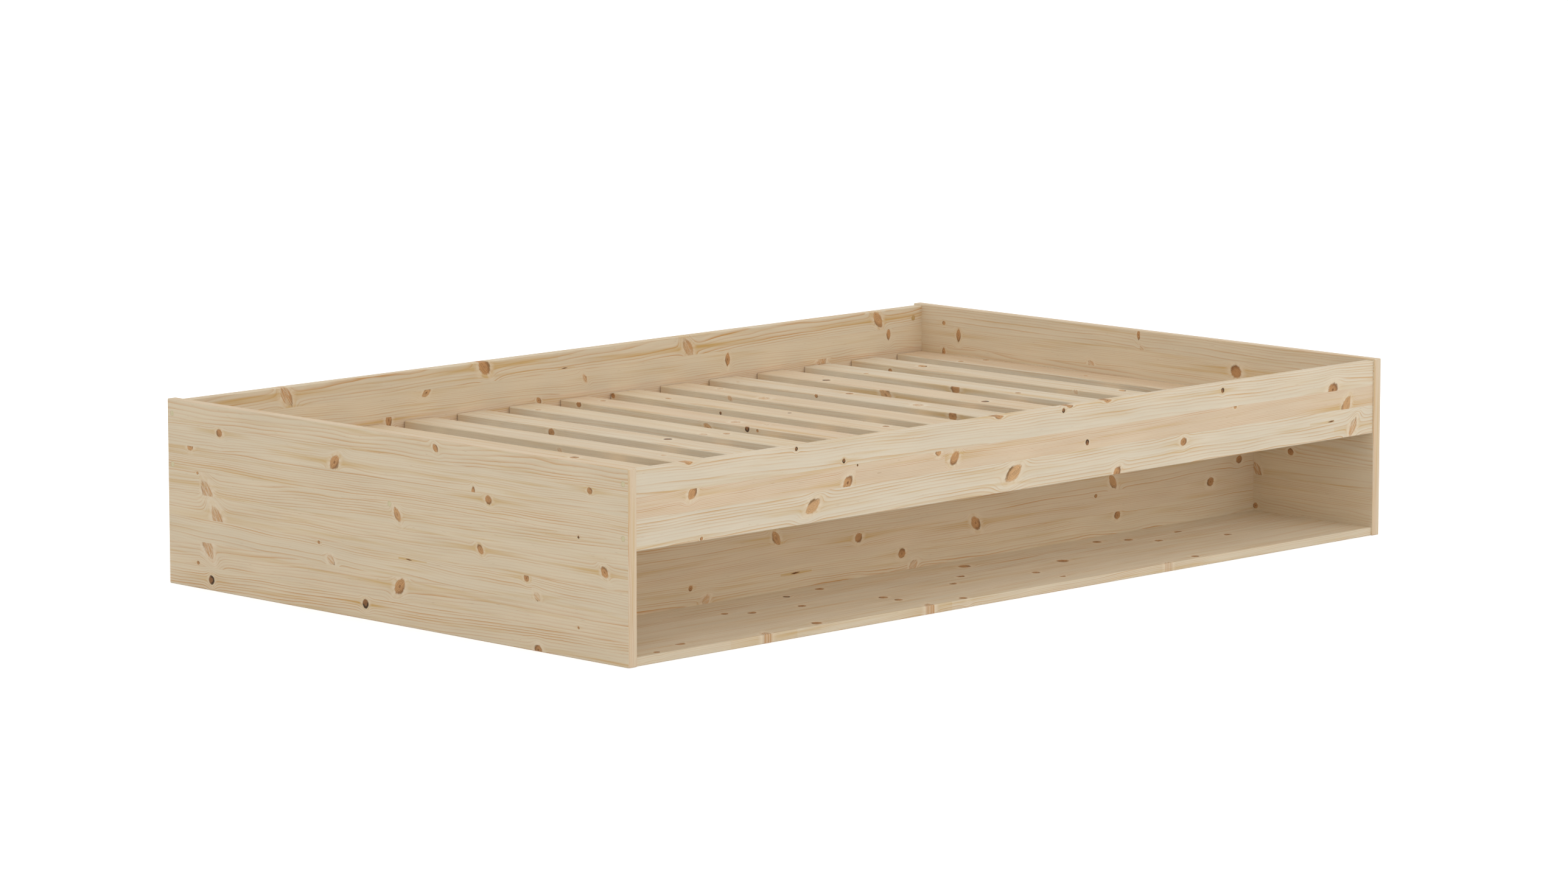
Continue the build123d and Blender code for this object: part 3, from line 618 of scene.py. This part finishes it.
def piece(name, bm, material, nodes=(), smooth=35):
    """Turn a bmesh into a named piece that rides on the bed and stands for CAD nodes."""
    mesh = bpy.data.meshes.new(name)
    bmesh.ops.recalc_face_normals(bm, faces=bm.faces)
    bm.to_mesh(mesh)
    bm.free()
    mesh.shade_smooth()
    mesh.set_sharp_from_angle(angle=math.radians(smooth))
    mesh.materials.append(material)
    made = bpy.data.objects.new(name, mesh)
    bpy.context.scene.collection.objects.link(made)
    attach(made, "root")
    if nodes:
        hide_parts(*nodes)
    return made


def measure(node):
    """A CAD node's lowest and highest corners, in metres, and its size in millimetres."""
    low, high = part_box(node)
    return low, high, [(b - a) / MM for a, b in zip(low, high)]


def slat_nodes():
    """The names of the slats' nodes, from left to right."""
    return sorted(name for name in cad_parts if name.startswith("slat_") and name[5:].isdigit())


def solids_of(node):
    """The lowest and highest corners of each separate solid of a CAD node, in metres."""
    bm = bmesh.new()
    bm.from_mesh(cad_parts[node].data)
    bmesh.ops.remove_doubles(bm, verts=bm.verts, dist=0.002 * MM)
    left = set(bm.verts)
    boxes = []
    while left:
        found, edge = set(), [left.pop()]
        while edge:
            corner = edge.pop()
            found.add(corner)
            for link in corner.link_edges:
                other = link.other_vert(corner)
                if other in left:
                    left.discard(other)
                    edge.append(other)
        low, high = (
            Vector([pick(corner.co[axis] for corner in found) for axis in range(3)]) for pick in (min, max)
        )
        boxes.append((low, high))
    bm.free()
    return sorted(boxes, key=lambda box: tuple(round(value, 4) for value in box[0]))


def skin(bm, rings):
    """Join rings of vertices with faces and close both ends. A ring of one vertex is a point."""
    for low, high in zip(rings, rings[1:]):
        for number in range(max(len(low), len(high))):
            corners = [low[number % len(low)], high[number % len(high)]]
            corners += [high[(number + 1) % len(high)], low[(number + 1) % len(low)]]
            kept = list(dict.fromkeys(corners))
            if len(kept) > 2:
                bm.faces.new(kept)
    for end in (rings[0], rings[-1]):
        if len(end) > 2:
            bm.faces.new(end)


def spin(bm, outline, spot, way, sides=40):
    """Add a turned shape: an outline of (along, radius) millimetres spun about a line from spot."""
    turn = Vector((0, 0, 1)).rotation_difference(way)
    angles = [2 * math.pi * number / sides for number in range(sides)]
    rings = []
    for along, radius in outline:
        around = angles if radius else [0]
        points = [Vector((radius * math.cos(a), radius * math.sin(a), along)) for a in around]
        rings.append([bm.verts.new(spot + turn @ (point * MM)) for point in points])
    skin(bm, rings)


# A colour that can be picked in the sidebar.
swatch = functools.partial(bpy.props.FloatVectorProperty, subtype="COLOR", min=0, max=1)


class BedFinish(bpy.types.PropertyGroup):
    """The colours and finishes of the bed's materials."""

    cream: swatch(name="Cream", description="Early wood of the palest staves", default=linear("#DFD3BD"))
    honey: swatch(name="Honey", description="Early wood of the golden staves", default=linear("#DFCFB3"))
    blush: swatch(name="Blush", description="Early wood of the pinkish staves", default=linear("#DDC8AC"))
    straw: swatch(name="Straw", description="Late wood of the yellowish staves", default=linear("#C6924A"))
    tan: swatch(name="Tan", description="Late wood of the pinkish staves", default=linear("#C68A58"))
    gold: swatch(name="Gold", description="Golden streaks beside knots", default=linear("#CBA562"))
    resin: swatch(name="Resin", description="Resin canals", default=linear("#A27C50"))
    halo: swatch(name="Halo", description="Pale wood round a knot", default=linear("#E8D8BF"))
    heart: swatch(name="Heart", description="Body of a pale knot", default=linear("#CFA87C"))
    pith: swatch(
        name="Pith", description="Middle of a knot and body of a dark one", default=linear("#734A2E"))
    shell: swatch(name="Shell", description="Body of a brown knot", default=linear("#C09264"))
    bark: swatch(name="Bark", description="Bark rim of a dead knot", default=linear("#47382A"))
    line_strength: bpy.props.FloatProperty(
        name="Line strength", description="Contrast of the growth lines", default=1.0, min=0, max=1,
        subtype="FACTOR")
    bolt_cap: swatch(
        name="Bolt caps", description="Moulded caps in the end panels", default=linear("#D1C49C"))
    nut_cap: swatch(name="Nut caps", description="Moulded caps in the rails", default=linear("#C0A06C"))
    webbing: swatch(name="Webbing", description="Cotton webbing under the slats", default=linear("#E4DECF"))


class BedStudio(bpy.types.PropertyGroup):
    """The camera and lights."""

    lens: bpy.props.FloatProperty(
        name="Lens", description="Focal length on a 36 mm wide sensor", default=142.32, min=1, unit="CAMERA")
    turn: bpy.props.FloatProperty(
        name="Turn", description="How far the camera looks round from +Y towards +X",
        default=math.radians(45.0742), subtype="ANGLE")
    tilt: bpy.props.FloatProperty(
        name="Tilt", description="How far the camera looks down",
        default=math.radians(8.3777), subtype="ANGLE")
    distance: bpy.props.FloatProperty(
        name="Distance", description="From the camera to the middle of the bed",
        default=11.9058, unit="LENGTH")
    pan: bpy.props.FloatProperty(
        name="Pan", description="How far left of the bed's middle the camera aims", default=0.0084,
        unit="LENGTH", precision=4)
    lift: bpy.props.FloatProperty(
        name="Lift", description="How far above the bed's middle the camera aims", default=0.0627,
        unit="LENGTH", precision=4)
    key: bpy.props.FloatProperty(
        name="Key light", description="Strength of the soft key light", default=0.17, min=0)
    side: bpy.props.FloatProperty(
        name="Side light", description="Strength of the soft light from the left", default=0.03, min=0)
    sky: bpy.props.FloatProperty(
        name="Sky", description="Strength of the white room light", default=0.86, min=0)


def pine_board(node, axes, borders, rows, staves, knots, edge=None):
    """Finish one board node with its own pine, its places measured from the board's corner."""
    low, high, size = measure(node)
    start = list(low)
    start[axes[2]] = (low[axes[2]] + high[axes[2]]) / 2
    label = f"Planed pine, {node.replace('_', ' ')}"
    finish_node(node, pine(label, axes, tuple(start), size[axes[0]], borders, rows, staves, knots, edge))


class BED_OT_panels(bpy.types.Operator):
    """Finish the two end panels"""

    bl_idname = "bed.panels"
    bl_label = "End panels"

    def execute(self, context):
        rows = 8
        for seed, (node, knots, strength, tones) in enumerate((
            ("end_panel_left", END_PANEL_KNOTS, 0.84, (0.4, 0.7)),
            ("end_panel_right", RIGHT_PANEL_KNOTS, 0.6, (0.3, 0.6)),
        )):
            low, _, (thickness, _, height) = measure(node)
            borders = [PANEL_STAVE * number for number in range(rows)] + [height, height + thickness]
            # The narrow edges show the sides of other staves.
            edge = dict(faces=(0, 1, 1), along=(0, 1, 1), across=(1, 0, 0), start=low, keep=0, shift=rows)
            staves = scattered_staves(20 + seed, rows, strength, tones) + [PANEL_EDGE_STAVE]
            pine_board(node, (1, 2, 0), borders, rows, staves, knots, edge)
        return {"FINISHED"}


class BED_OT_rails(bpy.types.Operator):
    """Finish the two side rails"""

    bl_idname = "bed.rails"
    bl_label = "Side rails"

    def execute(self, context):
        for node, knots, borders, staves in (
            ("front_rail", FRONT_RAIL_KNOTS, FRONT_RAIL_BORDERS, FRONT_RAIL_STAVES),
            ("back_rail", BACK_RAIL_KNOTS, BACK_RAIL_BORDERS, BACK_RAIL_STAVES),
        ):
            pine_board(node, (0, 2, 1), borders, len(staves), staves, knots)
        return {"FINISHED"}


class BED_OT_niche(bpy.types.Operator):
    """Finish the niche's floor and back boards"""

    bl_idname = "bed.niche"
    bl_label = "Niche boards"

    def execute(self, context):
        for node, knots, axes, rows, seed, tones in (
            ("niche_floor", NICHE_FLOOR_KNOTS, (0, 1, 2), 7, 31, (0, 0.4)),
            ("niche_wall", NICHE_WALL_KNOTS, (0, 2, 1), 5, 32, (0.45, 0.8)),
        ):
            _, _, size = measure(node)
            borders = equal_staves(size[axes[1]], rows)
            pine_board(node, axes, borders, rows, scattered_staves(seed, rows, 0.75, tones), knots)
        return {"FINISHED"}


class BED_OT_slats(bpy.types.Operator):
    """Finish the slats in groups of five, each slat with its own rings and knots"""

    bl_idname = "bed.slats"
    bl_label = "Slats"

    def execute(self, context):
        slats, group = slat_nodes(), 5
        first, _, (width, length, _) = measure(slats[0])
        pitch = (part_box(slats[1])[0][0] - first[0]) / MM
        gap = pitch - width
        borders = equal_staves(pitch * group, group)
        # The slats' sides show knots and rings of their own.
        side_borders = [pitch * group + SLAT_SIDE * number for number in range(group + 1)]
        # The ends by the front rail are out of the photograph's sight.
        hidden = 0.36 * length
        for seed in range(len(slats) // group):
            nodes = slats[seed * group : (seed + 1) * group]
            low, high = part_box(nodes[0])
            start = (low[0] - gap / 2 * MM, low[1], (low[2] + high[2]) / 2)
            edge = dict(faces=(1, 0, 0), along=(0, 1, 0), across=(0, 0, 1), start=low, keep=1, shift=group)
            knots = scattered_knots(40 + seed, hidden, borders, 1, width)
            knots += scattered_knots(50 + seed, hidden, side_borders, 1)
            tops = [border + gap / 2 for border in borders]
            for seen, edges in ((SLAT_TOP_KNOTS, tops), (SLAT_SIDE_KNOTS, side_borders)):
                for slat, along, inside, *rest in seen:
                    row = slat - seed * group
                    if 0 <= row < group:
                        knots.append((along, edges[row] + inside, *rest))
            staves = scattered_staves(60 + seed, group, 0.9, (0.1, 0.8))
            # The sides' staves are their own grain, but their growth lines are weaker than the tops' as
            # painted light: this lightens the sides, which the gaps between slats shade.
            staves += scattered_staves(70 + seed, group, 0.45, (0.1, 0.6))
            label, staggered = f"Planed pine, slats {seed + 1}", borders + side_borders[1:]
            material = pine(label, (1, 0, 2), start, length, staggered, group, staves, knots, edge)
            for node in nodes:
                finish_node(node, material)
        return {"FINISHED"}


class BED_OT_battens(bpy.types.Operator):
    """Finish the ledgers, the centre beam and its leg"""

    bl_idname = "bed.battens"
    bl_label = "Battens"

    def execute(self, context):
        for seed, (node, axes, count) in enumerate((
            ("front_ledger", (0, 2, 1), 9),
            ("back_ledger", (0, 2, 1), 9),
            ("centre_beam", (0, 1, 2), 9),
            ("centre_leg", (2, 0, 1), 2),
        )):
            _, _, size = measure(node)
            borders = [0, size[axes[1]]]
            knots = scattered_knots(80 + seed, size[axes[0]], borders, count)
            pine_board(node, axes, borders, 1, scattered_staves(85 + seed, 1, 0.85, (0.3, 1)), knots)
        return {"FINISHED"}


class BED_OT_caps(bpy.types.Operator):
    """Put smooth caps over the bolts and the barrel nuts"""

    bl_idname = "bed.caps"
    bl_label = "Caps"

    def execute(self, context):
        look = context.scene.bed_finish
        # A low dome with a rounded rim and a stem, and a plain one.
        dome = [(0, 0), (0, 3), (0.03, 4.5), (0.12, 4.86), (0.35, 5), (2.5, 5)]
        dome += [(2.5, 2.1), (4.7, 2.1), (5, 1.8), (5, 0)]
        disc = [(0, 0), (0, 3), (0.03, 5), (0.12, 5.36), (0.35, 5.5), (2, 5.5), (2, 0)]
        # The bolts' caps face away from the bed's middle, the nuts' caps towards it.
        for node, outline, colour, roughness, axis, outward in (
            ("bolt_caps", dome, look.bolt_cap, 0.42, 0, 1),
            ("nut_caps", disc, look.nut_cap, 0.45, 1, -1),
        ):
            bm = bmesh.new()
            for low, high in solids_of(node):
                spot, way = (low + high) / 2, Vector((0, 0, 0))
                side = outward if spot[axis] > 0 else -outward
                spot[axis] = (high if side > 0 else low)[axis]
                way[axis] = -side
                spin(bm, outline, spot, way)
            plastic = moulded_plastic(f"Moulded polyethylene, {node.replace('_', ' ')}", colour, roughness)
            piece(f"smooth_{node}", bm, plastic, [node])
        return {"FINISHED"}


class BED_OT_fittings(bpy.types.Operator):
    """Finish the bolts, nuts, cams, screws, pins and dowels"""

    bl_idname = "bed.fittings"
    bl_label = "Fittings"

    def execute(self, context):
        steel = zinc_metal("Zinc-plated steel", linear("#A9ABA6"), 0.38, 3)
        cast = zinc_metal("Cast zinc", linear("#8E8F8C"), 0.5, 1.5)
        beech = milled_beech("Milled beech", linear("#CDA57C"), linear("#A87B52"))
        for node in (
            "connector_bolts", "barrel_nuts", "cam_bolts", "ledger_screws", "niche_screws", "leg_screws",
        ):
            finish_node(node, steel)
        finish_node("cam_discs", cast)
        finish_node("dowels", beech)
        # A round brad with a small dished head.
        brad = [(0.1, 0), (0, 1.0), (0.15, 1.4), (0.9, 1.4), (1.1, 0.9), (30.2, 0.9), (31.8, 0.1), (31.8, 0)]
        bm = bmesh.new()
        for low, high in solids_of("slat_pins"):
            middle = (low + high) / 2
            spin(bm, brad, Vector((middle.x, middle.y, high.z)), Vector((0, 0, -1)), 20)
        piece("round_brads", bm, steel, ["slat_pins"])
        return {"FINISHED"}


def webbing_ring(bm, x, low, high, dip):
    """One cross-section of a web: a flattened loop with flat faces and rounded edges."""
    ribs = 20
    half = (high[2] - low[2]) / 2
    ring = []
    for rib in range(ribs):
        angle = 2 * math.pi * rib / ribs
        across, up = math.cos(angle), math.sin(angle)
        across = math.copysign(abs(across) ** 0.5, across)
        up = math.copysign(min(abs(up) * 3, 1), up)
        y = (low[1] + high[1]) / 2 + across * (high[1] - low[1]) / 2
        ring.append(bm.verts.new((x, y, high[2] - half + up * half - dip)))
    return ring


def staple(bm, low, high):
    """A staple of flat wire with rounded shoulders, inside the box of its CAD solid."""
    inset, shoulder, bends, spokes = 0.4 * MM, 1.1 * MM, 4, 10
    half_thick, half_wide = 0.38 * MM, 0.65 * MM
    left, right, foot = low.x + inset, high.x - inset, high.z
    y, z = (low.y + high.y) / 2, low.z + inset
    path = [(left, foot), (left, z + shoulder)]
    for number in range(1, bends + 1):
        angle = math.pi / 2 * number / bends
        path.append((left + shoulder * (1 - math.cos(angle)), z + shoulder * (1 - math.sin(angle))))
    path += [(left + right - x, height) for x, height in reversed(path)]
    rings = []
    for number, (x, height) in enumerate(path):
        ahead, behind = path[min(number + 1, len(path) - 1)], path[max(number - 1, 0)]
        way = Vector((ahead[0] - behind[0], 0, ahead[1] - behind[1])).normalized()
        out = Vector((way.z, 0, -way.x))
        ring = []
        for spoke in range(spokes):
            angle = 2 * math.pi * spoke / spokes
            offset = out * math.cos(angle) * half_thick + Vector((0, 1, 0)) * math.sin(angle) * half_wide
            ring.append(bm.verts.new(Vector((x, y, height)) + offset))
        rings.append(ring)
    skin(bm, rings)


class BED_OT_webbing(bpy.types.Operator):
    """Lay the webbing under the slats and drive its staples"""

    bl_idname = "bed.webbing"
    bl_label = "Webbing"

    def execute(self, context):
        cotton = cotton_webbing("Woven cotton webbing", context.scene.bed_finish.webbing)
        slats = slat_nodes()
        gaps = [(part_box(before)[1][0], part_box(after)[0][0]) for before, after in zip(slats, slats[1:])]
        steps = 480
        for side in ("front", "back"):
            low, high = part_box(f"slat_ribbon_{side}")
            bm = bmesh.new()
            rings = []
            for number in range(steps + 1):
                x = low[0] + (high[0] - low[0]) * number / steps
                # The web dips between slats, where nothing carries it.
                shares = [(x - start) / (stop - start) for start, stop in gaps if start < x < stop]
                dip = WEBBING_DIP * sum(math.sin(math.pi * share) ** 2 for share in shares)
                rings.append(webbing_ring(bm, x, low, high, dip))
            skin(bm, rings)
            web = piece(f"{side}_webbing", bm, cotton, [f"slat_ribbon_{side}"], 60)
        bm = bmesh.new()
        for low, high in solids_of("ribbon_staples"):
            staple(bm, low, high)
        piece("crown_staples", bm, bpy.data.materials["Zinc-plated steel"], ["ribbon_staples"])
        return {"FINISHED"}


class BED_OT_studio(bpy.types.Operator):
    """Set the floor, the lights and the camera"""

    bl_idname = "bed.studio"
    bl_label = "Studio"

    def execute(self, context):
        studio = context.scene.bed_studio
        scene = context.scene
        scene.view_settings.view_transform = "Standard"

        # White painted studio floor. It also gives its own white to camera rays, so that the open
        # floor reads as white while the bed's shadow stays on it.
        paint, put, where = new_material("Matt white floor paint")
        rays = put("LightPath")
        seen = put("Math", (rays.outputs["Is Camera Ray"], rays.outputs["Is Glossy Ray"]), "MAXIMUM")
        seen = put("Math", (seen, rays.outputs["Is Transmission Ray"]), "MAXIMUM")
        roller = put("TexNoise", {"Vector": where, "Scale": 1 / (6 * MM), "Detail": 2})
        tint = put("MapRange", (roller, 0.3, 0.7, 0.8, 0.84))
        matt = put("BsdfPrincipled", {"Base Color": tint, "Roughness": 0.9})
        glow = put("Math", (seen, 0.48))
        glow = put("Emission", (linear("#FFFFFF") + (1,), glow))
        put("OutputMaterial", (put("AddShader", (matt, glow)),))
        bm = bmesh.new()
        bmesh.ops.create_grid(bm, x_segments=2, y_segments=2, size=30)
        mesh = bpy.data.meshes.new("studio_floor")
        bm.to_mesh(mesh)
        bm.free()
        mesh.materials.append(paint)
        ground = bpy.data.objects.new("studio_floor", mesh)
        ground.location.z = -0.1 * MM
        scene.collection.objects.link(ground)
        ground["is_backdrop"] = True

        world = bpy.data.worlds.new("White room")
        world.use_nodes = True
        world.node_tree.nodes.clear()
        put = functools.partial(add, world.node_tree)
        rays = put("LightPath")
        seen = put("Math", (rays.outputs["Is Camera Ray"], rays.outputs["Is Transmission Ray"]), "MAXIMUM")
        # The room is lighter overhead than along its walls.
        way = put("TexCoord").outputs["Generated"]
        height = put("SeparateXYZ", way).outputs[2]
        sky = put("MapRange", (height, 0, 1, studio.sky * 0.9, studio.sky * 1.1))
        room = put("Background", ((1, 1, 1, 1), sky))
        white = put("Background", ((1, 1, 1, 1), 1))
        put("OutputWorld", (put("MixShader", (seen, room, white)),))
        scene.world = world

        for name, place, power in (
            ("Soft key", (1.2, -5.2, 2.2), LAMP_POWER * studio.key),
            ("Soft side light", (-5.2, 1.6, 3.0), LAMP_POWER * studio.side),
        ):
            lamp = bpy.data.lights.new(name, "AREA")
            lamp.shape = "RECTANGLE"
            lamp.size, lamp.size_y = 4.0, 3.0
            lamp.energy = power
            lit = bpy.data.objects.new(name, lamp)
            lit.location = place
            lit.rotation_euler = (Vector((0, 0, 0.2)) - lit.location).to_track_quat("-Z", "Y").to_euler()
            scene.collection.objects.link(lit)

        low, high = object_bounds()
        middle = Vector([(a + b) / 2 for a, b in zip(low, high)])
        forward = Vector((
            math.sin(studio.turn) * math.cos(studio.tilt),
            math.cos(studio.turn) * math.cos(studio.tilt),
            -math.sin(studio.tilt),
        ))
        right = Vector((math.cos(studio.turn), -math.sin(studio.turn), 0))
        above = right.cross(forward)
        lens = bpy.data.cameras.new("Studio camera")
        lens.sensor_width = 36
        lens.lens = studio.lens
        lens.clip_end = 100
        camera = bpy.data.objects.new("Studio camera", lens)
        camera.location = middle - right * studio.pan + above * studio.lift - forward * studio.distance
        camera.rotation_euler = Matrix((right, above, -forward)).transposed().to_euler()
        scene.collection.objects.link(camera)
        scene.camera = camera
        return {"FINISHED"}


class BED_PT_sidebar(bpy.types.Panel):
    """Lists the bed's pieces, finishes and studio"""

    bl_idname = "BED_PT_sidebar"
    bl_label = "Floor bed"
    bl_space_type = "VIEW_3D"
    bl_region_type = "UI"
    bl_category = "Floor bed"

    def draw(self, context):
        layout = self.layout
        for operator in OPERATORS:
            layout.operator(operator.bl_idname)
        for group in (context.scene.bed_finish, context.scene.bed_studio):
            for name in group.__annotations__:
                layout.prop(group, name)


OPERATORS = (
    BED_OT_panels,
    BED_OT_rails,
    BED_OT_niche,
    BED_OT_slats,
    BED_OT_battens,
    BED_OT_caps,
    BED_OT_fittings,
    BED_OT_webbing,
    BED_OT_studio,
)
CLASSES = (BedFinish, BedStudio, *OPERATORS, BED_PT_sidebar)


def register():
    """Register the classes and hang the settings on the scene."""
    for kind in CLASSES:
        bpy.utils.register_class(kind)
    bpy.types.Scene.bed_finish = bpy.props.PointerProperty(type=BedFinish)
    bpy.types.Scene.bed_studio = bpy.props.PointerProperty(type=BedStudio)


def unregister():
    """Take the settings and the classes away again."""
    del bpy.types.Scene.bed_finish
    del bpy.types.Scene.bed_studio
    for kind in reversed(CLASSES):
        bpy.utils.unregister_class(kind)


def main():
    """Dress the bed piece by piece."""
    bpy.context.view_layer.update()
    register()
    for operator in OPERATORS:
        area, name = operator.bl_idname.split(".")
        getattr(getattr(bpy.ops, area), name)()


if __name__ == "__main__":
    main()
